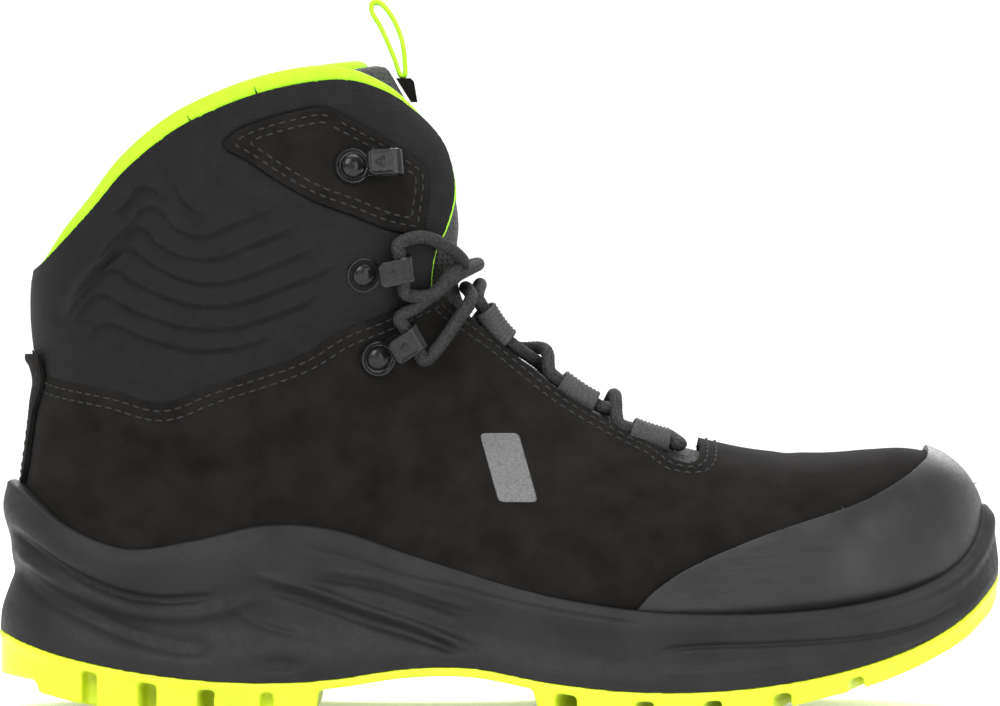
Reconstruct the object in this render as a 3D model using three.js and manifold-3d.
// Mid-cut lace-up hiking and safety boot for the right foot, built as separate layers.
//
// Millimetres. +X points to the toe, -Y to the outer (lateral) side and +Z up. The origin is on the
// ground under the middle of the sole. The upper is one lofted last surface. Every leather, foam and
// textile piece is a layer of it, a range of depths below (negative) or above (positive) that
// surface, cut to its pattern outline in the side view (x, z).
import * as THREE from "three";
import { mergeVertices } from "three/addons/utils/BufferGeometryUtils.js";
import Module from "manifold-3d";

const wasm = await Module();
wasm.setup();

// ---------------------------------------------------------------- driving dimensions
const bootLength = 305; // heel to toe over the sole
const collarHeight = 190; // ground to the peak of the collar
const soleWidth = 111; // across the ball of the foot
const gap = 0.35; // clearance between neighbouring layers

const upperThickness = 1.6; // microfibre of the quarters and vamp
const coverThickness = 1.1; // outer textile of the ankle collar
const foamThickness = 3.6; // collar foam and quarter interlining
const liningThickness = 1.2;
const toeCapThickness = 2.2;
const counterThickness = 2.0;
const bumperThickness = 1.3; // rubber film over the toe
const stripThickness = 1.4; // heel strip and hook patches
const boardThickness = 2.2;
const footbedThickness = 5;
const shankThickness = 1.6;
const shankWidth = 24;
const treadPlate = 2.8; // outsole between the midsole and the grooves
const rimRise = 3.4; // how far the lining stands above the collar cover
const tongueThickness = 6.5;
const tongueLining = 1.2;
const laceDiameter = 4;
const webbingThickness = 1;
const webbingWidth = 12.5;
const hookWidth = 8;
const hookThickness = 1.1;
const hookBaseDiameter = 11;
const rivetHeadDiameter = 7;
const rivetShankDiameter = 3.4;

// The tables and outlines below are drawn for the reference size and scaled to the dimensions above.
const kx = bootLength / 305;
const kz = collarHeight / 190;
const ky = soleWidth / 111;
const axisShift = 0.85 * ky; // puts the wider outer half of the sole as far out as the inner half

// Depths of the layers below the last surface, from the outside in.
const upperInner = -upperThickness;
const middleOuter = upperInner - gap;
const middleInner = middleOuter - foamThickness;
const liningOuter = middleInner - gap;
const liningInner = liningOuter - liningThickness;

// ---------------------------------------------------------------- the last surface
// One row for each section, from above the collar (first) to the toe tip (last):
// front point x z, back or bottom point x z, outer and inner half width, sideways shift of the axis,
// depth of the widest place (share of the way from front to back), roundness of the front and back.
const lastSections = [
  [-30.5, 206, -144, 206, 44, 44, 0, 0.5, 2.2, 2.3],
  [-20.5, 187, -143.7, 179, 44.5, 44.5, 0, 0.5, 2.2, 2.3],
  [-11.5, 172.5, -143, 157.5, 45, 45, 0, 0.5, 2.2, 2.3],
  [-6, 158.5, -142.4, 139, 45.5, 45, 0, 0.5, 2.2, 2.3],
  [-4.3, 147.5, -141.8, 124, 45, 44.5, 0, 0.5, 2.2, 2.3],
  [-4.9, 137.5, -141, 108.5, 43.5, 43, 0, 0.51, 2.15, 2.3],
  [-4.3, 129, -141.2, 95, 42, 41.5, 0, 0.53, 2.1, 2.3],
  [-1.2, 122, -142.7, 81, 40.5, 40, 0, 0.56, 2.05, 2.3],
  [3.7, 114.5, -144.6, 66, 39.5, 39, 0, 0.6, 2, 2.35],
  [10.7, 108, -145.2, 50.5, 39, 38.5, 0, 0.63, 1.95, 2.4],
  [19, 101.5, -141.5, 37, 39.5, 38, 0, 0.66, 1.9, 2.5],
  [29, 95, -125, 31.7, 40, 37.5, 0, 0.68, 1.9, 2.7],
  [39.7, 90, -91.5, 30.2, 41.5, 37, 0, 0.7, 1.9, 2.9],
  [50.3, 85, -48.8, 27.1, 44.5, 38.5, 0.5, 0.7, 1.95, 3],
  [61.5, 81.7, -6.1, 22.6, 49, 42, 1, 0.7, 2.05, 3],
  [79.3, 78.2, 33.6, 19.5, 51.5, 46, 1.5, 0.69, 2.15, 3],
  [97.6, 77.4, 70, 19.5, 51, 49, 2, 0.67, 2.25, 3],
  [112.9, 78.6, 97.6, 21.4, 47.5, 47.5, 3, 0.65, 2.35, 3],
  [123.5, 79, 117.4, 24.1, 40, 40, 4, 0.63, 2.4, 3],
  [132.7, 77, 131.2, 28, 31.5, 31.5, 4.8, 0.6, 2.4, 3],
  [139.9, 71.8, 139.7, 31.7, 22, 22, 5.4, 0.57, 2.4, 3],
  [144.3, 65.5, 144.2, 34.4, 11.5, 11.5, 5.8, 0.54, 2.4, 3],
  [146, 61, 146, 36, 0, 0, 6, 0.5, 2.4, 3],
];
const lastEnd = lastSections.length - 1;
const lastOdd = [4, 5]; // the half widths change sign past the toe tip, which closes it round

// Catmull-Rom spline through the rows of a table. At a closed end the surface comes round to its
// other side, so the rows past it are the rows before it with the columns in odd negated. At an
// open end they run straight on.
function tableAt(table, u, odd, closedStart) {
  const last = table.length - 1;
  const i = Math.min(last - 1, Math.max(0, Math.floor(u)));
  const t = u - i;
  const row = (k, c) => {
    if (k >= 0 && k <= last) return table[k][c];
    if (k < 0 && !closedStart) return 2 * table[0][c] - table[-k][c];
    const mirrored = table[k < 0 ? -k : 2 * last - k][c];
    return odd.includes(c) ? -mirrored : mirrored;
  };
  return table[0].map((_, c) => {
    const [a, b, d, e] = [row(i - 1, c), row(i, c), row(i + 1, c), row(i + 2, c)];
    return 0.5 * (2 * b + (d - a) * t + (2 * a - 5 * b + 4 * d - e) * t * t +
      (3 * b - a - 3 * d + e) * t * t * t);
  });
}

// A point of the last surface: u runs along the sections and angle round them, 0 at the front or
// top, pi at the back or bottom, positive on the outer side.
function lastPoint(u, angle) {
  const [fx, fz, bx, bz, outerHalf, innerHalf, shift, widest, frontPower, backPower] =
    tableAt(lastSections, u, lastOdd, false);
  const cos = Math.cos(angle);
  const sin = Math.sin(angle);
  const power = 2 / (cos > 0 ? frontPower : backPower);
  const along = cos > 0
    ? widest * (1 - cos ** power)
    : widest + (1 - widest) * (-cos) ** power;
  const half = Math.abs(sin) ** power * (sin > 0 ? -outerHalf : innerHalf);
  return new THREE.Vector3(
    kx * (fx + (bx - fx) * along),
    ky * (half + shift) + axisShift,
    kz * (fz + (bz - fz) * along),
  );
}

// A point at a depth from the surface, with the surface normal found by small differences.
const slope = 0.02;
function lastNormal(u, angle) {
  const v = Math.min(u, lastEnd - 2 * slope);
  const alongU = lastPoint(v + slope, angle).sub(lastPoint(v - slope, angle));
  const alongAngle = lastPoint(v, angle + slope).sub(lastPoint(v, angle - slope));
  return alongAngle.cross(alongU).normalize();
}
const atDepth = (u, angle, depth) =>
  lastPoint(u, angle).addScaledVector(lastNormal(u, angle), depth);

// ---------------------------------------------------------------- solids
function solidFrom(geometry) {
  const bare = new THREE.BufferGeometry();
  bare.setAttribute("position", geometry.getAttribute("position"));
  if (geometry.index) bare.setIndex(geometry.index);
  const merged = mergeVertices(bare, 1e-4);
  return new wasm.Manifold(new wasm.Mesh({
    numProp: 3,
    vertProperties: new Float32Array(merged.attributes.position.array),
    triVerts: new Uint32Array(merged.index.array),
  }));
}

function geometryOf(solid) {
  const mesh = solid.getMesh();
  const geometry = new THREE.BufferGeometry();
  geometry.setAttribute("position", new THREE.BufferAttribute(new Float32Array(mesh.vertProperties), 3));
  geometry.setIndex(new THREE.BufferAttribute(new Uint32Array(mesh.triVerts), 1));
  geometry.computeVertexNormals();
  return geometry;
}

// The largest body of a solid, without the crumbs that a shallow cut leaves.
const mainBody = (solid) =>
  solid.decompose().reduce((best, one) => (one.volume() > best.volume() ? one : best));

const unite = (solids) => solids.reduce((all, one) => all.add(one));

// A grid of points as a closed skin: rows are joined in order, the columns close into a ring, and
// the ends are capped with a fan. An end whose ring is already flattened to a line needs no cap.
function ringedSkin(rows, cappedEnds = [0, rows.length - 1]) {
  const count = rows[0].length;
  const points = rows.flat();
  const faces = [];
  for (let i = 0; i + 1 < rows.length; i++)
    for (let j = 0; j < count; j++) {
      const k = (j + 1) % count;
      const [a, b, c, d] = [i * count + j, (i + 1) * count + j, (i + 1) * count + k, i * count + k];
      faces.push([a, b, c], [a, c, d]);
    }
  for (const row of cappedEnds) {
    const centre = new THREE.Vector3();
    rows[row].forEach((p) => centre.addScaledVector(p, 1 / count));
    points.push(centre);
    for (let j = 0; j < count; j++) {
      const [a, b] = [row * count + j, row * count + (j + 1) % count];
      faces.push(row > 0 ? [a, points.length - 1, b] : [a, b, points.length - 1]);
    }
  }
  return { points, faces };
}

function skinGeometry({ points, faces }) {
  const geometry = new THREE.BufferGeometry().setFromPoints(points);
  geometry.setIndex(faces.flat());
  return geometry;
}

// A closed solid, turned inside out if its faces came out pointing inwards.
function outward(skin) {
  const solid = solidFrom(skinGeometry(skin));
  if (solid.volume() > 0) return solid;
  return solidFrom(skinGeometry({ ...skin, faces: skin.faces.map(([a, b, c]) => [a, c, b]) }));
}

// A side-view outline [[x, z], ...] as a solid that runs across the boot from y0 to y1.
const wideOut = 200;
function prism(outline, y0 = -wideOut, y1 = wideOut) {
  const shape = new THREE.Shape(outline.map(([x, z]) => new THREE.Vector2(x, z)));
  const geometry = new THREE.ExtrudeGeometry(shape, { depth: y1 - y0, bevelEnabled: false });
  geometry.rotateX(Math.PI / 2);
  geometry.translate(0, y1, 0);
  return solidFrom(geometry);
}

// A smooth curve through reference-size side-view points, scaled to the boot.
const scaled = (points) => points.map(([x, z]) => [kx * x, kz * z]);
const smooth = (points, pieces = 2 * points.length) =>
  new THREE.SplineCurve(scaled(points).map(([x, z]) => new THREE.Vector2(x, z)))
    .getPoints(pieces)
    .map((p) => [p.x, p.y]);

// A side-view line moved sideways by a distance, to its left when it runs forwards along the list.
function moved(line, distance) {
  return line.map(([x, z], i) => {
    const [ax, az] = line[Math.max(0, i - 1)];
    const [bx, bz] = line[Math.min(line.length - 1, i + 1)];
    const length = Math.hypot(bx - ax, bz - az);
    return [x - distance * (bz - az) / length, z + distance * (bx - ax) / length];
  });
}

// ---------------------------------------------------------------- the last as nested solids
const sectionSteps = 24;
const ringSteps = 20;

const surfaceRows = Array.from({ length: sectionSteps + 1 }, (_, i) =>
  Array.from({ length: ringSteps }, (_, j) =>
    lastPoint(lastEnd * i / sectionSteps, 2 * Math.PI * j / ringSteps)));

// The toe end is zipped shut: the two sides of the last ring are the same points.
const surfaceSkin = ringedSkin(surfaceRows, [0]);

// Normals at the points of a skin, averaged over the faces that meet there and pointing outwards.
function outwardNormals({ points, faces }) {
  const key = (p) => p.toArray().map((v) => Math.round(v * 1000)).join();
  const sums = new Map(points.map((p) => [key(p), new THREE.Vector3()]));
  for (const face of faces) {
    const [a, b, c] = face.map((i) => points[i]);
    const normal = b.clone().sub(a).cross(c.clone().sub(a));
    face.forEach((i) => sums.get(key(points[i])).add(normal));
  }
  const sign = solidFrom(skinGeometry({ points, faces })).volume() > 0 ? 1 : -1;
  return points.map((p) => sums.get(key(p)).clone().normalize().multiplyScalar(sign));
}
const surfaceNormals = outwardNormals(surfaceSkin);

// The last grown or shrunk by a depth. A shrunk one keeps its underside, where the layers stand on
// the insole board.
const nested = new Map();
function lastSolid(depth) {
  if (!nested.has(depth)) {
    const points = surfaceSkin.points.map((p, i) => {
      const n = surfaceNormals[i].clone();
      if (depth < 0 && n.z < 0) n.z = 0;
      return p.clone().addScaledVector(n, depth);
    });
    nested.set(depth, outward({ points, faces: surfaceSkin.faces }));
  }
  return nested.get(depth);
}
const layer = (outer, inner) => lastSolid(outer).subtract(lastSolid(inner));

// ---------------------------------------------------------------- pattern outlines in the side view
const far = 400;

// Underside of the foot, heel to toe: the bottom points of the sections past the heel corner.
const footLine = [
  [-170, 33],
  ...lastSections.slice(11, 20).map(([, , x, z]) => [x, z]),
  [160, 34.5],
];
const underFoot = (rise) =>
  prism([...moved(scaled(footLine), rise), [far, -far], [-far, -far]]);

// Seam between the ankle collar and the quarters, heel to throat.
const collarSeam = smooth([
  [-160, 108], [-143.5, 105], [-135.4, 100.5], [-116, 96.4], [-101, 92.8], [-86.5, 98],
  [-61, 106.5], [-47.3, 114.5], [-33.6, 120], [-19.2, 127], [-7.5, 129.5], [12, 131],
], 14);
const aboveSeam = (rise) => prism([...moved(collarSeam, rise), [far, far], [-far, far]]);

// Top edge of the collar, from the heel over the ankle peak and down to the throat.
const topLine = smooth([
  [-160, 126], [-142.5, 132.4], [-134, 139], [-122, 151.3], [-113, 161.7], [-102, 171],
  [-91.5, 177.5], [-76, 184], [-61, 188], [-47.3, 189.6], [-36.6, 187.3], [-27.5, 182.3],
  [-18.3, 173], [-14.3, 163.5], [-13.7, 154.3], [-16.2, 145.2], [-19.2, 139], [-20.7, 130],
  [-20, 122], [-17, 112],
], 27);
const insideCollar = (grown) => prism([...moved(topLine, grown), [-17, 60], [-160, 60]]);

// The lining stands above the cover all round the top and runs out low down at the front.
const rimLine = topLine.map(([x, z], i) => {
  const rise = x < -60 * kx ? rimRise : rimRise * THREE.MathUtils.smoothstep(z, 138 * kz, 150 * kz);
  return moved(topLine, rise)[i];
});
const insideRim = prism([...rimLine, [-17, 60], [-160, 60]]);

// Edge of the eyestay, from the collar down to the front end of the throat and over the top.
const throatLine = [
  ...smooth([[-20.5, 133], [-19.5, 128], [-15, 122.8], [-9, 118.3], [-1, 112], [14.6, 99],
    [23.2, 92.7], [36.6, 84.8], [47.3, 79.3]], 11),
  ...smooth([[52.5, 75.6], [57.5, 74.6], [60.3, 77.5], [60.5, 90]], 6),
];
const throat = (grown) => prism([...moved(throatLine, grown), [90, 220], [-20.5, 220]]);

// Edge of the rubber toe bumper, from the sole up and over the top of the toe.
const bumperLine = smooth([
  [34, 24], [40.6, 31.2], [46, 36.6], [53.8, 42], [65.6, 47.6], [81, 53.5], [96.7, 58.4],
  [108.3, 62.4], [119.9, 68.6], [126.3, 73], [129.5, 76.5], [130, 86],
], 16);
const frontOfBumperLine = (grown) => prism([...moved(bumperLine, grown), [far, 86], [far, 24]]);

// Heel strip: its front edge in the side view.
const stripLine = scaled([[-147, 20], [-144.6, 62], [-142.6, 74], [-140.3, 89], [-137.4, 98], [-136.4, 107.5]]);
const behindStripLine = (grown) => prism([...moved(stripLine, grown), [-far, 107.5], [-far, 20]]);

// Patch that carries the top hook on each side.
const hookPatch = [
  ...smooth([[-82.5, 170.3], [-77.9, 174.2], [-69.7, 177.4], [-58.9, 180.2], [-52.8, 180.8],
    [-47.9, 178.7], [-37, 172.6], [-27.2, 166.1], [-22.9, 162.3], [-22.2, 156.8]], 14),
  ...smooth([[-23.8, 144.2], [-26.2, 143.4], [-34.3, 144.9], [-45.2, 149.2], [-56.1, 153.2],
    [-67.1, 159.5], [-75.2, 165], [-81.4, 168.3]], 10),
];

// ---------------------------------------------------------------- the sole
// One row for each station from the heel tip to the toe tip: x, shift of the axis, outer and inner
// half width, height of the rim, height of the parting line between midsole and outsole.
const soleStations = [
  [-152.5, 0, 0, 0, 68.5, 24],
  [-150, 0, 14, 14, 67, 23],
  [-142.5, 0, 26, 26, 62, 20],
  [-130, 0, 35, 34.5, 54, 16.3],
  [-112, 0, 40.5, 39, 48.4, 12.6],
  [-92, 0, 43, 40.5, 51, 10],
  [-70, 0, 44.5, 40, 55.6, 9],
  [-50, 0, 45.5, 39, 54.2, 10.2],
  [-28, 0, 47, 38.5, 47, 13.4],
  [-8, 0.3, 49.3, 39.8, 40.8, 13.6],
  [14, 0.8, 53, 43, 34.6, 9.6],
  [38, 1.3, 56.5, 47.5, 30.6, 7],
  [62, 1.7, 58.2, 51.5, 29.3, 7],
  [84, 2.2, 58, 52.5, 29.6, 9.3],
  [104, 2.8, 54.8, 51, 31.4, 13.3],
  [121, 3.6, 48, 46, 34.5, 18.5],
  [134, 4.4, 39, 38.5, 38.8, 24.5],
  [143.5, 5.1, 28, 28, 44.5, 31],
  [150, 5.7, 14.5, 14.5, 53, 37.5],
  [152.5, 6, 0, 0, 61, 41],
];
const soleEnd = soleStations.length - 1;
const soleOdd = [2, 3];

// A point on the sole's outline at a station, on the outer side for side 1 and the inner for -1,
// moved inwards by a distance.
function solePoint(q, side, inset, height) {
  const at = (v) => {
    const [x, shift, outer, inner] = tableAt(soleStations, v, soleOdd, true);
    return new THREE.Vector2(kx * x, ky * (shift - (side > 0 ? outer : -inner)) + axisShift);
  };
  const here = at(q);
  const step = 0.01;
  const along = at(Math.min(soleEnd, q + step)).sub(at(Math.max(0, q - step))).normalize();
  return new THREE.Vector3(here.x - side * along.y * inset, here.y + side * along.x * inset, height);
}
const rimAt = (q) => kz * tableAt(soleStations, q, soleOdd, true)[4];
const partingAt = (q) => kz * tableAt(soleStations, q, soleOdd, true)[5];

const soleSteps = 30;
// Stations round the outline: along the outer side to the toe and back along the inner side.
const roundSole = [
  ...Array.from({ length: soleSteps + 1 }, (_, i) => [soleEnd * i / soleSteps, 1]),
  ...Array.from({ length: soleSteps - 1 }, (_, i) => [soleEnd * (soleSteps - 1 - i) / soleSteps, -1]),
];

// How the midsole's side swells and waists on its way up: share of the height, and the inset at
// the heel and at the toe.
const soleProfile = [
  [0, 0.2, 0.2],
  [0.14, 0.6, 0],
  [0.38, 4.4, 0.6],
  [0.6, 3.6, 1.2],
  [0.8, 1, 1],
  [0.9, 1.2, 1.6],
  [1, 2.6, 3.6],
];
const heelShare = (q) => 1 - THREE.MathUtils.smoothstep(q / soleEnd, 0.35, 0.75);

function midsoleBlank() {
  const rows = soleProfile.map(([share, heelInset, toeInset]) =>
    roundSole.map(([q, side]) => {
      const foot = partingAt(q) + gap;
      const inset = toeInset + (heelInset - toeInset) * heelShare(q);
      return solePoint(q, side, inset, foot + (rimAt(q) - foot) * share);
    }));
  const capInset = 12;
  const rim = roundSole.map(([q, side]) => solePoint(q, side, capInset, rimAt(q) - 1));
  return outward(stationSkin([...rows, rim]));
}

// Rows of points round the sole as a closed skin. The first and last row are closed with strips
// across the sole, from its outer to its inner side, so that they stay level across it.
function stationSkin(rows) {
  const count = rows[0].length;
  const faces = [];
  for (let i = 0; i + 1 < rows.length; i++)
    for (let j = 0; j < count; j++) {
      const k = (j + 1) % count;
      const [a, b, c, d] = [i * count + j, (i + 1) * count + j, (i + 1) * count + k, i * count + k];
      faces.push([a, b, c], [a, c, d]);
    }
  const strip = (base, turned) => {
    for (let j = 0; j < count / 2; j++) {
      const [a, b] = [base + j, base + j + 1];
      const [c, d] = [base + (count - j - 1), base + (count - j) % count];
      const pair = j === 0 ? [[a, b, c]] : c === b ? [[a, b, d]] : [[a, b, c], [a, c, d]];
      pair.forEach((f) => faces.push(turned ? [f[0], f[2], f[1]] : f));
    }
  };
  strip(0, false);
  strip((rows.length - 1) * count, true);
  return { points: rows.flat(), faces };
}

// ---------------------------------------------------------------- pieces of the sole
function shankBlank(grown) {
  const top = moved(scaled(footLine.slice(2, 6)), -2 * gap + grown);
  const bottom = moved(scaled(footLine.slice(2, 6)), -2 * gap - shankThickness - grown);
  const half = shankWidth / 2 + grown;
  return prism([...top, ...bottom.reverse()], axisShift - half, axisShift + half);
}

function midsole() {
  return midsoleBlank()
    .subtract(lastSolid(gap))
    .subtract(toeBumperBlank(gap))
    .subtract(heelStripBlank(gap))
    .subtract(shankBlank(gap));
}

// Ground profile of the lugs in the side view: flat under heel and ball, rising at both ends.
const groundLine = [
  [-153, 10.6], [-140, 9.2], [-138.6, 5.4], [-125, 2.2], [-112, 0], [112 - 35, 0], [96, 4.9],
  [106.5, 7.3], [115.5, 10], [125.7, 14], [136, 19], [141, 22], [149, 29], [154, 37],
];

// Grooves across the tread: x, width and how far they run in from each edge of the sole.
const grooves = [
  [-122, 6.5, 26], [-103.5, 7, 26], [-85.5, 6.5, 26], [-69, 5, 18],
  [25.5, 7.5, 30], [49.5, 6.5, 30], [70, 6, 30], [90, 5.5, 28], [110, 5, 24], [127.5, 3.2, 16],
  [136.5, 2.6, 12],
];
const heelBreast = -56; // front end of the heel's lugs
const ballStart = 10; // back end of the lugs under the ball

function outsole() {
  const plateRows = [-treadPlate, 0].map((drop) =>
    roundSole.map(([q, side]) => solePoint(q, side, 0, partingAt(q) + drop)));
  const plate = outward(stationSkin(plateRows));
  const treadRows = [-30, -treadPlate / 2].map((drop) =>
    roundSole.map(([q, side]) => solePoint(q, side, 0.6, partingAt(q) + drop)));
  let tread = outward(stationSkin(treadRows));
  tread = tread.intersect(prism([...scaled(groundLine), [kx * 160, far], [-kx * 160, far]]));
  const arch = scaled([[heelBreast, -5], [ballStart + 3, -5], [ballStart - 1.5, 12], [heelBreast + 3, 12]]);
  tread = tread.subtract(prism(arch));
  const splay = 0.25; // the grooves run out towards the heel as they near the edge
  for (const [x, width, reach] of grooves)
    for (const side of [1, -1]) {
      const half = width / 2;
      const inner = ky * 58 - ky * reach;
      const plan = [[inner, -half], [inner, half], [ky * 70, half], [ky * 70, -half]]
        .map(([y, dx]) => new THREE.Vector2(kx * (x + dx) - splay * (y - inner), y * side + axisShift));
      const cut = new THREE.ExtrudeGeometry(new THREE.Shape(side > 0 ? plan : plan.reverse()),
        { depth: 60, bevelEnabled: false });
      cut.translate(0, 0, -20);
      tread = tread.subtract(solidFrom(cut));
    }
  const channel = (x0, x1, half) => {
    const plan = [];
    const teeth = Math.round((x1 - x0) / 16);
    for (let i = 0; i <= teeth; i++) plan.push([x0 + (x1 - x0) * i / teeth, (i % 2 ? 5 : -5) - half]);
    for (let i = teeth; i >= 0; i--) plan.push([x0 + (x1 - x0) * i / teeth, (i % 2 ? 5 : -5) + half]);
    const cut = new THREE.ExtrudeGeometry(
      new THREE.Shape(plan.map(([x, y]) => new THREE.Vector2(kx * x, ky * y + axisShift))),
      { depth: 60, bevelEnabled: false });
    cut.translate(0, 0, -20);
    return solidFrom(cut);
  };
  tread = tread.subtract(channel(-135, heelBreast + 8, 2.5)).subtract(channel(ballStart - 8, 132, 2.5));
  return plate.add(tread);
}

// ---------------------------------------------------------------- layers of the upper
const toeBumperBlank = (grown) =>
  layer(gap + bumperThickness + grown, gap - grown).intersect(frontOfBumperLine(grown));
const heelStripBlank = (grown) =>
  layer(gap + stripThickness + grown, gap - grown).intersect(behindStripLine(-grown));

const bumperSink = 9; // how far the bumper and the heel strip run down behind the midsole's rim
const soleTrim = () => underFoot(bumperSink);

function upper() {
  return layer(0, upperInner)
    .subtract(aboveSeam(-gap / 2))
    .subtract(throat(0))
    .subtract(underFoot(boardThickness + 2 * gap));
}

function collarCover() {
  return layer(0, -coverThickness)
    .intersect(aboveSeam(gap / 2))
    .intersect(insideCollar(0));
}

function collarFoam() {
  return layer(-coverThickness - gap, middleInner)
    .intersect(aboveSeam(gap / 2 + 1))
    .intersect(insideCollar(0))
    .subtract(prism([[-17, 110], [30, 110], [30, 140], [-15, 140]].map(([x, z]) => [kx * x, kz * z])));
}

function toeCap() {
  const back = smooth([[78, 10], [84, 40], [88, 64], [91, 95]], 8);
  return layer(middleOuter, middleOuter - toeCapThickness)
    .intersect(prism([...back, [far, 95], [far, 10]].reverse()))
    .subtract(underFoot(boardThickness + 3 * gap));
}

function heelCounter() {
  const front = smooth([[-78, 10], [-86, 50], [-100, 72], [-124, 86], [-160, 88]], 12);
  return layer(middleOuter, middleOuter - counterThickness)
    .intersect(prism([...front, [-far, 88], [-far, 10]]))
    .subtract(underFoot(boardThickness + 3 * gap));
}

function interlining() {
  const zone = [
    ...smooth([[-76, 10], [-84, 50], [-98, 72], [-122, 87], [-160, 89.5]], 12).reverse(),
    ...scaled([[77, 10]]),
    ...smooth([[83, 40], [86.7, 64], [89.5, 95]], 6),
    ...scaled([[89.5, 200], [-160, 200]]),
  ];
  return layer(middleOuter, middleInner)
    .intersect(prism(zone))
    .subtract(aboveSeam(-1))
    .subtract(tongueRoom())
    .subtract(underFoot(boardThickness + 3 * gap));
}

// The collar is open down its front, over the width of the instep.
const frontOpening = () => {
  const half = 20 * ky;
  return prism(scaled([[-60, 132], [20, 132], [20, 230], [-60, 230]]), axisShift - half, axisShift + half);
};

function lining() {
  const rim = layer(-0.5, liningInner)
    .intersect(insideRim)
    .subtract(insideCollar(gap))
    .intersect(prism(scaled([[-160, 128], [10, 128], [10, 220], [-160, 220]])));
  return layer(liningOuter, liningInner)
    .intersect(insideRim.add(prism([...collarSeam, [far, -far], [-far, -far]])))
    .subtract(tongueRoom())
    .subtract(underFoot(boardThickness + 3 * gap))
    .add(rim)
    .subtract(throat(0))
    .subtract(frontOpening());
}

function toeBumper() {
  return toeBumperBlank(0).subtract(soleTrim());
}

function heelStrip() {
  return heelStripBlank(0).subtract(soleTrim());
}

function patch(side) {
  const span = side > 0 ? [-wideOut, axisShift] : [axisShift, wideOut];
  return layer(gap + stripThickness, gap).intersect(prism(hookPatch, ...span));
}

function insoleBoard() {
  return lastSolid(-gap).intersect(underFoot(boardThickness));
}

function footbed() {
  const low = boardThickness + gap;
  return lastSolid(liningInner - gap)
    .intersect(underFoot(low + footbedThickness))
    .subtract(underFoot(low));
}

// A sheet with thickness: a grid of rows by columns for its outer face (0) and its inner face (1).
function sheetSolid(rows, columns, pointAt) {
  const points = [];
  for (const face of [0, 1])
    for (let i = 0; i <= rows; i++)
      for (let j = 0; j <= columns; j++) points.push(pointAt(i / rows, j / columns, face));
  const id = (i, j, face) => (face * (rows + 1) + i) * (columns + 1) + j;
  const faces = [];
  const quad = (p, q, r, t) => faces.push([p, q, r], [p, r, t]);
  for (let i = 0; i < rows; i++)
    for (let j = 0; j < columns; j++) {
      quad(id(i, j, 0), id(i + 1, j, 0), id(i + 1, j + 1, 0), id(i, j + 1, 0));
      quad(id(i, j, 1), id(i, j + 1, 1), id(i + 1, j + 1, 1), id(i + 1, j, 1));
    }
  for (let i = 0; i < rows; i++) {
    quad(id(i, 0, 0), id(i, 0, 1), id(i + 1, 0, 1), id(i + 1, 0, 0));
    quad(id(i, columns, 0), id(i + 1, columns, 0), id(i + 1, columns, 1), id(i, columns, 1));
  }
  for (let j = 0; j < columns; j++) {
    quad(id(0, j, 0), id(0, j + 1, 0), id(0, j + 1, 1), id(0, j, 1));
    quad(id(rows, j, 0), id(rows, j, 1), id(rows, j + 1, 1), id(rows, j + 1, 0));
  }
  return outward({ points, faces });
}

// ---------------------------------------------------------------- the tongue
// Depth of the tongue's outer face. It drops from the underside of the eyestay into the collar,
// where its wings turn further in and leave room for the lace ends.
const tongueUnderStay = upperInner - 5 * gap - webbingThickness;
const tongueInCollar = liningInner - 1.6;
const wingDrop = 9;
const { lerp, smoothstep, degToRad } = THREE.MathUtils;
const collarShare = (u) => 1 - smoothstep(u, 6.8, 9.4);
const tongueDepth = (u, share) =>
  lerp(tongueUnderStay, tongueInCollar - wingDrop * share * share, collarShare(u));
const tongueSpread = (u) => degToRad(lerp(54, 30, smoothstep(u, 6, 11)));
const tongueTop = 0.45;
const tongueFlex = 4.2; // section at which the top of the tongue bends over the lacing
const tongueToe = 14.3;

// A slab of the tongue between two sections and two depths below its outer face. The corners of
// the top are rounded off, and wider makes the slab reach further round.
function tongueSlab(u0, u1, outer, inner, rows, wider = 1) {
  return sheetSolid(rows, 8, (i, j, face) => {
    const u = lerp(u0, u1, i);
    const corner = smoothstep(u, tongueTop - 0.6, tongueTop + 0.7);
    const share = 2 * j - 1;
    const depth = tongueDepth(u, share) - (face ? inner : outer);
    return atDepth(u, tongueSpread(u) * (0.7 + 0.3 * corner) * share * wider, depth);
  });
}

// The room that the layers of the upper leave for the tongue and for the webbing beside it.
function tongueRoom() {
  const clear = 2 * gap;
  const around = tongueSlab(tongueFlex - 0.5, tongueToe + 0.2, -clear, tongueThickness + clear, 12, 1.05);
  const underStay = sheetSolid(8, 8, (i, j, face) => {
    const u = lerp(6.2, tongueToe + 0.2, i);
    const angle = (tongueSpread(u) + degToRad(lerp(14, 6, i))) * (2 * j - 1);
    return atDepth(u, angle, face ? tongueUnderStay - tongueThickness : upperInner - gap / 2);
  });
  return around.add(underStay);
}
const tongueCore = tongueThickness - tongueLining - 2 * gap;
const flexGap = 0.04; // share of a section between the two halves
const tongueUpper = () => tongueSlab(tongueTop, tongueFlex - flexGap, 0, tongueCore, 7);
const tongueLower = () => tongueSlab(tongueFlex + flexGap, tongueToe, 0, tongueCore, 13);
const tongueLiningUpper = () =>
  tongueSlab(tongueTop, tongueFlex - flexGap, tongueCore + 2 * gap, tongueThickness, 7);
const tongueLiningLower = () =>
  tongueSlab(tongueFlex + flexGap, tongueToe, tongueCore + 2 * gap, tongueThickness, 13);

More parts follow.
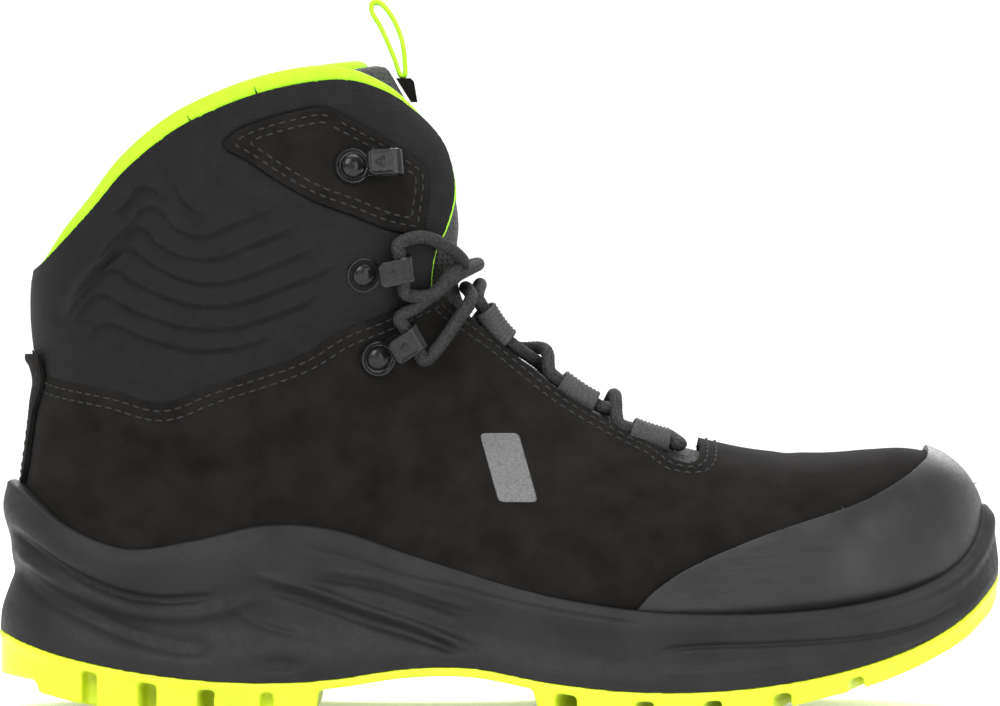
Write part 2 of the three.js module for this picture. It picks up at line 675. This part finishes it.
// The finger loop of flat tape on top of the tongue, and the folded keeper that it swings on.
const pullLoopWidth = 8;
const tapeThickness = 1;
const loopPivot = [-29.6, 192.6];
const pullLoopOutline = [
  [-30.5, 191.9], [-32.9, 198], [-36.6, 206.5], [-39.6, 212], [-39.2, 214.6], [-36.6, 214.9],
  [-32.6, 210.5], [-29.6, 203.5], [-28.6, 197], [-28.7, 192], [-29.6, 191.65],
];
function pullLoop() {
  const curve = new THREE.CatmullRomCurve3(
    scaled(pullLoopOutline).map(([x, z]) => new THREE.Vector3(x, z, 0)), true, "centripetal");
  const ring = curve.getPoints(30).slice(1).map((p) => [p.x, p.y]);
  const inner = ring.map(([x, z], i) => {
    const [a, b] = [ring.at(i - 1), ring[(i + 1) % ring.length]];
    const length = Math.hypot(b[0] - a[0], b[1] - a[1]);
    return [x + tapeThickness * (b[1] - a[1]) / length, z - tapeThickness * (b[0] - a[0]) / length];
  }).filter(([, z]) => z > kz * 196);
  const half = pullLoopWidth / 2;
  return prism(ring, axisShift - half, axisShift + half)
    .subtract(prism(inner, axisShift - half - 1, axisShift + half + 1));
}

function keeper() {
  const [x, z] = [kx * loopPivot[0], kz * loopPivot[1]];
  const top = z - 0.95 - gap;
  const outline = [[x - 2, top], [x + 2.4, top], [x + 3.4, top - 1], [x + 4.4, top - 7], [x + 2.4, top - 7]];
  return prism(outline, axisShift - 5, axisShift + 5)
    .subtract(tongueSlab(tongueTop, tongueFlex, gap, tongueThickness, 10))
    .subtract(tongueSlab(tongueTop, tongueFlex, -gap, tongueThickness, 10));
}

// ---------------------------------------------------------------- hooks, rivets and lace loops
// The section and angle of the surface point that the side view shows at x, z.
function findOnLast(x, z, side) {
  const target = new THREE.Vector2(kx * x, kz * z);
  const seen = (u, angle) => {
    const p = lastPoint(u, angle);
    return new THREE.Vector2(p.x, p.z).sub(target);
  };
  let [u, angle] = [lastEnd / 2, Math.PI / 2];
  let best = Infinity;
  for (let i = 1; i < 44; i++)
    for (let j = 1; j < 24; j++) {
      const miss = seen(lastEnd * i / 44, Math.PI * j / 24).length();
      if (miss < best) [best, u, angle] = [miss, lastEnd * i / 44, Math.PI * j / 24];
    }
  for (let step = 0; step < 8; step++) {
    const miss = seen(u, angle);
    const alongU = seen(u + 1e-4, angle).sub(miss).multiplyScalar(1e4);
    const alongAngle = seen(u, angle + 1e-4).sub(miss).multiplyScalar(1e4);
    const scale = alongU.cross(alongAngle);
    u -= miss.cross(alongAngle) / scale;
    angle -= alongU.cross(miss) / scale;
  }
  return [u, side * angle];
}

// A chart of the surface round a point: it takes a step along a direction of the side view, a step
// square to it and a height to a point in space. Both sides of the boot get mirrored charts.
function chartAt([x, z], [dx, dz], side) {
  const [u, angle] = findOnLast(x, z, side);
  const e = 1e-3;
  const alongU = lastPoint(u + e, angle).sub(lastPoint(u - e, angle)).divideScalar(2 * e);
  const alongAngle = lastPoint(u, angle + e).sub(lastPoint(u, angle - e)).divideScalar(2 * e);
  const normal = alongAngle.clone().cross(alongU).normalize();
  const ahead = new THREE.Vector3(dx, 0, dz).projectOnPlane(normal).normalize();
  const across = normal.clone().cross(ahead).multiplyScalar(side);
  const scale = alongAngle.clone().cross(alongU).dot(normal);
  const map = (forward, sideways, height) => {
    const move = ahead.clone().multiplyScalar(forward).addScaledVector(across, sideways);
    const du = alongAngle.clone().cross(move).dot(normal) / scale;
    const da = move.clone().cross(alongU).dot(normal) / scale;
    return atDepth(u + du, angle + da, height);
  };
  return { origin: lastPoint(u, angle), ahead, across, normal, map };
}

// Moves a solid drawn at the origin, with X along the hook and Z out of the boot, into a chart.
function seat(geometry, { origin, ahead, normal }, height) {
  const basis = new THREE.Matrix4()
    .makeBasis(ahead, normal.clone().cross(ahead), normal)
    .setPosition(origin.clone().addScaledVector(normal, height));
  return solidFrom(geometry.applyMatrix4(basis));
}

const hookReach = 11.2; // rivet to the middle of the bend
const bendRadius = laceDiameter / 2 + 0.5;
// Hooks from the top: rivet in the side view, direction, and the height of the layer below them.
const hookRows = [
  { name: "top", at: [-44.8, 163.2], tilt: 5, below: gap + stripThickness },
  { name: "middle", at: [-41.2, 131.2], tilt: 8, below: 0 },
  { name: "low", at: [-36.9, 106.1], tilt: 30, below: 0 },
];
const hookChart = ({ at, tilt }, side) =>
  chartAt(at, [Math.cos(degToRad(tilt)), Math.sin(degToRad(tilt))], side);

const disc = (radius, height, segments = 16) => {
  const geometry = new THREE.CylinderGeometry(radius, radius, height, segments);
  geometry.rotateX(Math.PI / 2);
  return geometry.translate(0, 0, height / 2);
};

function hook(row, side) {
  const t = hookThickness;
  const middle = t + bendRadius;
  const arc = (radius, from, to) => Array.from({ length: 6 }, (_, i) => {
    const a = degToRad(lerp(from, to, i / 5));
    return [hookReach + radius * Math.cos(a), middle + radius * Math.sin(a)];
  });
  const outline = [[0, 0], ...arc(bendRadius + t, -90, 90), [hookReach - 7.5, 2 * middle],
    [hookReach - 7.5, 2 * middle - t], ...arc(bendRadius, 90, -90), [0, t]];
  const strip = new THREE.ExtrudeGeometry(
    new THREE.Shape(outline.map(([x, z]) => new THREE.Vector2(x, z))),
    { depth: hookWidth, bevelEnabled: false });
  strip.rotateX(Math.PI / 2).translate(0, hookWidth / 2, 0);
  const chart = hookChart(row, side);
  const height = row.below + gap;
  return seat(strip, chart, height)
    .add(seat(disc(hookBaseDiameter / 2, t), chart, height))
    .subtract(seat(disc(rivetShankDiameter / 2 + gap, 4 * t).translate(0, 0, -t), chart, height));
}

const rivetTailDiameter = 6.4;
const rivetTailThickness = 0.9;
const rivetTailGap = 0.5; // the layer above it is curved
const coverBelow = (row) => (row.name === "low" ? upperThickness : coverThickness);
function rivet(row, side) {
  const underHead = row.below + gap + hookThickness + gap;
  const tailTop = -coverBelow(row) - rivetTailGap;
  const [head, shank, tail] = [rivetHeadDiameter / 2, rivetShankDiameter / 2, rivetTailDiameter / 2];
  const profile = [[0, tailTop - rivetTailThickness], [tail, tailTop - rivetTailThickness],
    [tail, tailTop], [shank, tailTop], [shank, underHead], [head, underHead],
    [head, underHead + 0.4], [head * 0.82, underHead + 1.2], [head * 0.45, underHead + 1.7],
    [0, underHead + 1.85]];
  const geometry = new THREE.LatheGeometry(profile.map(([r, z]) => new THREE.Vector2(r, z)), 12);
  return seat(geometry.rotateX(Math.PI / 2), hookChart(row, side), 0);
}

// What the rivets need in the layers that they go through: a hole, and a pocket for the tail.
function rivetRooms() {
  return unite(hookRows.flatMap((row) => [1, -1].flatMap((side) => {
    const chart = hookChart(row, side);
    const tailBottom = -coverBelow(row) - rivetTailGap - rivetTailThickness - gap;
    return [
      seat(disc(rivetShankDiameter / 2 + gap, 12, 14), chart, tailBottom),
      seat(disc(rivetTailDiameter / 2 + gap, rivetTailThickness + rivetTailGap + 0.1, 14), chart, tailBottom),
    ];
  })));
}

// Webbing loops from the throat of the lacing up: the middle of each on the eyestay's edge.
const loopRows = [
  { name: "front", at: [45, 80.3], along: [11, -5.8] },
  { name: "middle", at: [22.5, 93.2], along: [11, -8] },
  { name: "rear", at: [-3.2, 113.7], along: [11, -8.7] },
];
const eyeRadius = laceDiameter / 2 + 0.8;
const eyeReach = eyeRadius + webbingThickness + 1; // eyestay's edge to the middle of the eye
const eyeHeight = tongueUnderStay + gap + webbingThickness + eyeRadius;
const tailReach = 8; // how far the webbing runs in under the eyestay
const loopChart = ({ at, along }, side) => chartAt(at, along, side);

// The webbing comes out from under the eyestay, goes round the lace and turns back to its start.
function laceLoop(row, side) {
  const { map } = loopChart(row, side);
  const strip = (share, face) => {
    const radius = eyeRadius + (face ? 0 : webbingThickness);
    if (share < 0.21) return [lerp(-tailReach, eyeReach, share / 0.2), eyeHeight - radius];
    const a = degToRad(lerp(-90, 205, (share - 0.2) / 0.8));
    return [eyeReach + radius * Math.cos(a), eyeHeight + radius * Math.sin(a)];
  };
  return sheetSolid(1, 15, (i, j, face) => {
    const [sideways, height] = strip(j, face);
    return map(lerp(-webbingWidth / 2, webbingWidth / 2, i), sideways, height);
  });
}

// The notch that the eyestay's edge leaves for the eyes of the webbing.
function loopRooms() {
  const half = webbingWidth / 2 + 1.5 * laceDiameter;
  const clear = eyeRadius + webbingThickness + gap;
  return unite(loopRows.flatMap((row) => [1, -1].map((side) => {
    const { map } = loopChart(row, side);
    return sheetSolid(2, 3, (i, j, face) =>
      map(lerp(-half, half, i), eyeReach + clear * (2 * j - 1), eyeHeight + (face ? -clear : clear)));
  })));
}

// ---------------------------------------------------------------- the lace
const laceRadius = laceDiameter / 2;
const laceClear = 0.45;

// Resting heights of the lace over the tongue where two strands cross: the lower, then the upper.
const crossing = (u, over) =>
  atDepth(u, 0, tongueDepth(u, 0) + laceClear + laceRadius + (over ? laceDiameter + laceClear : 0));
const onSide = (x, z, side, height) => atDepth(...findOnLast(x, z, side), height);
const inSection = (u, degrees, side, height) => atDepth(u, side * degToRad(degrees), height);

// Height of the lace where it lies on the footbed.
function onFootbed(x, y) {
  const i = footLine.findIndex(([at]) => at > x);
  const [[x0, z0], [x1, z1]] = [footLine[i - 1], footLine[i]];
  const ground = lerp(z0, z1, (x - x0) / (x1 - x0));
  return new THREE.Vector3(kx * x, axisShift + ky * y,
    kz * ground + boardThickness + gap + footbedThickness + laceClear + laceRadius);
}

// One half of the lace, from the middle of the lowest bar to its free end, which is tucked into the
// boot. It ends on the hooks and in the collar of the given side.
function strand(side) {
  const over = side > 0;
  const through = (row, s) => [9.5, 6, -6.5, -10.5].map((w) => loopChart(row, s).map(w, eyeReach, eyeHeight));
  const round = (row, s) => {
    const { origin, ahead, across, normal } = hookChart(row, s);
    const height = row.below + gap + hookThickness + bendRadius;
    return [-7.5, -4.2, 4.2, 7.5].map((w) => origin.clone().addScaledVector(ahead, hookReach)
      .addScaledVector(across, w).addScaledVector(normal, height));
  };
  const [front, middle, rear] = loopRows;
  const [, middleHook, lowHook] = hookRows;
  return [
    ...through(front, side),
    crossing(11.45, over),
    ...through(middle, -side),
    crossing(9.2, !over),
    ...through(rear, side),
    crossing(6, over),
    onSide(-11.5, 123, -side, 3.6),
    onSide(-15.5, 116.5, -side, 3.8),
    onSide(-20.5, 109, -side, 3.9),
    ...round(lowHook, -side),
    onSide(-26.5, 122.5, -side, 4.4),
    onSide(-18, 129.5, -side, 3.4),
    crossing(5.3, !over),
    onSide(-17, 132, side, 3.2),
    onSide(-22.5, 125.8, side, 4.6),
    ...round(middleHook, side),
    onSide(-26.5, 142.8, side, 4.4),
    onSide(-19.5, 141, side, 3.2),
    inSection(5.15, 26, side, 0.6),
    inSection(5.5, 23.5, side, -4.6),
    inSection(5.85, 31, side, -9.4),
    inSection(6.5, 42, side, -9.7),
    inSection(7.3, 54, side, -9.7),
    inSection(8.2, 68, side, -9.7),
    inSection(9.1, 82, side, -10),
    inSection(9.9, 94, side, -10.4),
    onFootbed(-86, -25 * side).add(new THREE.Vector3(0, 0, 5)),
    onFootbed(-98, -24.5 * side),
    onFootbed(-110, -23 * side),
    onFootbed(-120.5, -16 * side),
    onFootbed(-110, -8.5 * side),
    onFootbed(-95, -8 * side),
    onFootbed(-70, -8.5 * side),
  ];
}

const lowestBar = crossing(13.15, false);
const laceRoute = [...strand(-1).reverse(), lowestBar, ...strand(1)];
const laceCurve = new THREE.CatmullRomCurve3(laceRoute, false, "centripetal");
laceCurve.arcLengthDivisions = 1200;

const round8 = (radius) => new THREE.Shape(Array.from({ length: 8 }, (_, i) =>
  new THREE.Vector2(radius * Math.cos(i * Math.PI / 4), radius * Math.sin(i * Math.PI / 4))));
const lace = () => solidFrom(new THREE.ExtrudeGeometry(round8(laceRadius),
  { steps: 140, extrudePath: laceCurve, bevelEnabled: false }));

const agletLength = 20;
function aglet(side) {
  const [end, before] = side > 0 ? [laceRoute.at(-1), laceRoute.at(-2)] : [laceRoute[0], laceRoute[1]];
  const along = end.clone().sub(before).normalize();
  const profile = [[0, gap], [laceRadius, gap], [laceRadius, agletLength - 2], [1.3, agletLength], [0, agletLength]];
  const rod = new THREE.LatheGeometry(profile.map(([r, z]) => new THREE.Vector2(r, z)), 12);
  rod.applyQuaternion(new THREE.Quaternion().setFromUnitVectors(new THREE.Vector3(0, 1, 0), along));
  return solidFrom(rod.translate(...end));
}

// ---------------------------------------------------------------- the assembly
const palette = {
  suede: { color: 0x171615, roughness: 0.95, metalness: 0 },
  softshell: { color: 0x1c1c1d, roughness: 0.9, metalness: 0 },
  lime: { color: 0xb4f53c, roughness: 0.85, metalness: 0 },
  tread: { color: 0xdce93a, roughness: 0.55, metalness: 0 },
  sole: { color: 0x2b2b2b, roughness: 0.7, metalness: 0 },
  rubber: { color: 0x2e2e2e, roughness: 0.5, metalness: 0 },
  foam: { color: 0x7c7c78, roughness: 0.95, metalness: 0 },
  board: { color: 0xb9a98a, roughness: 0.9, metalness: 0 },
  cap: { color: 0x6c6f70, roughness: 0.5, metalness: 0.1 },
  mesh: { color: 0x232322, roughness: 0.9, metalness: 0 },
  metal: { color: 0x141414, roughness: 0.3, metalness: 0.8 },
  cord: { color: 0x1a1a1a, roughness: 0.85, metalness: 0 },
  webbing: { color: 0x4a4a4a, roughness: 0.8, metalness: 0 },
};
const materials = Object.fromEntries(Object.entries(palette).map(([name, look]) =>
  [name, new THREE.MeshStandardMaterial({ name, ...look })]));

const boot = new THREE.Group();
function place(name, solid, material) {
  const mesh = new THREE.Mesh(geometryOf(solid), materials[material]);
  mesh.name = name;
  boot.add(mesh);
}

const rooms = rivetRooms();
place("outsole", outsole(), "tread");
place("midsole", midsole(), "sole");
place("shank", shankBlank(0), "cap");
place("insole_board", insoleBoard(), "board");
place("footbed", footbed(), "foam");
place("lining", mainBody(lining()), "lime");
place("upper", upper().subtract(rooms).subtract(loopRooms()), "suede");
place("collar_cover", collarCover().subtract(rooms), "softshell");
place("collar_foam", collarFoam().subtract(rooms), "foam");
place("interlining", mainBody(interlining().subtract(rooms)), "foam");
place("toe_cap", toeCap(), "cap");
place("heel_counter", heelCounter(), "cap");
place("toe_bumper", toeBumper(), "rubber");
place("heel_strip", heelStrip(), "suede");
place("hook_patch_outer", patch(1).subtract(rooms), "suede");
place("hook_patch_inner", patch(-1).subtract(rooms), "suede");
place("tongue_lower", tongueLower(), "mesh");
place("tongue_upper", tongueUpper(), "mesh");
place("tongue_lining_lower", tongueLiningLower(), "lime");
place("tongue_lining_upper", tongueLiningUpper(), "lime");
place("tongue_keeper", keeper(), "softshell");
place("pull_loop", pullLoop(), "lime");
for (const [side, word] of [[1, "outer"], [-1, "inner"]]) {
  for (const row of hookRows) {
    place(`hook_${row.name}_${word}`, hook(row, side), "metal");
    place(`rivet_${row.name}_${word}`, rivet(row, side), "metal");
  }
  for (const row of loopRows) place(`lace_loop_${row.name}_${word}`, laceLoop(row, side), "webbing");
}
place("lace", lace(), "cord");
place("aglet_outer", aglet(1), "metal");
place("aglet_inner", aglet(-1), "metal");

export default boot;
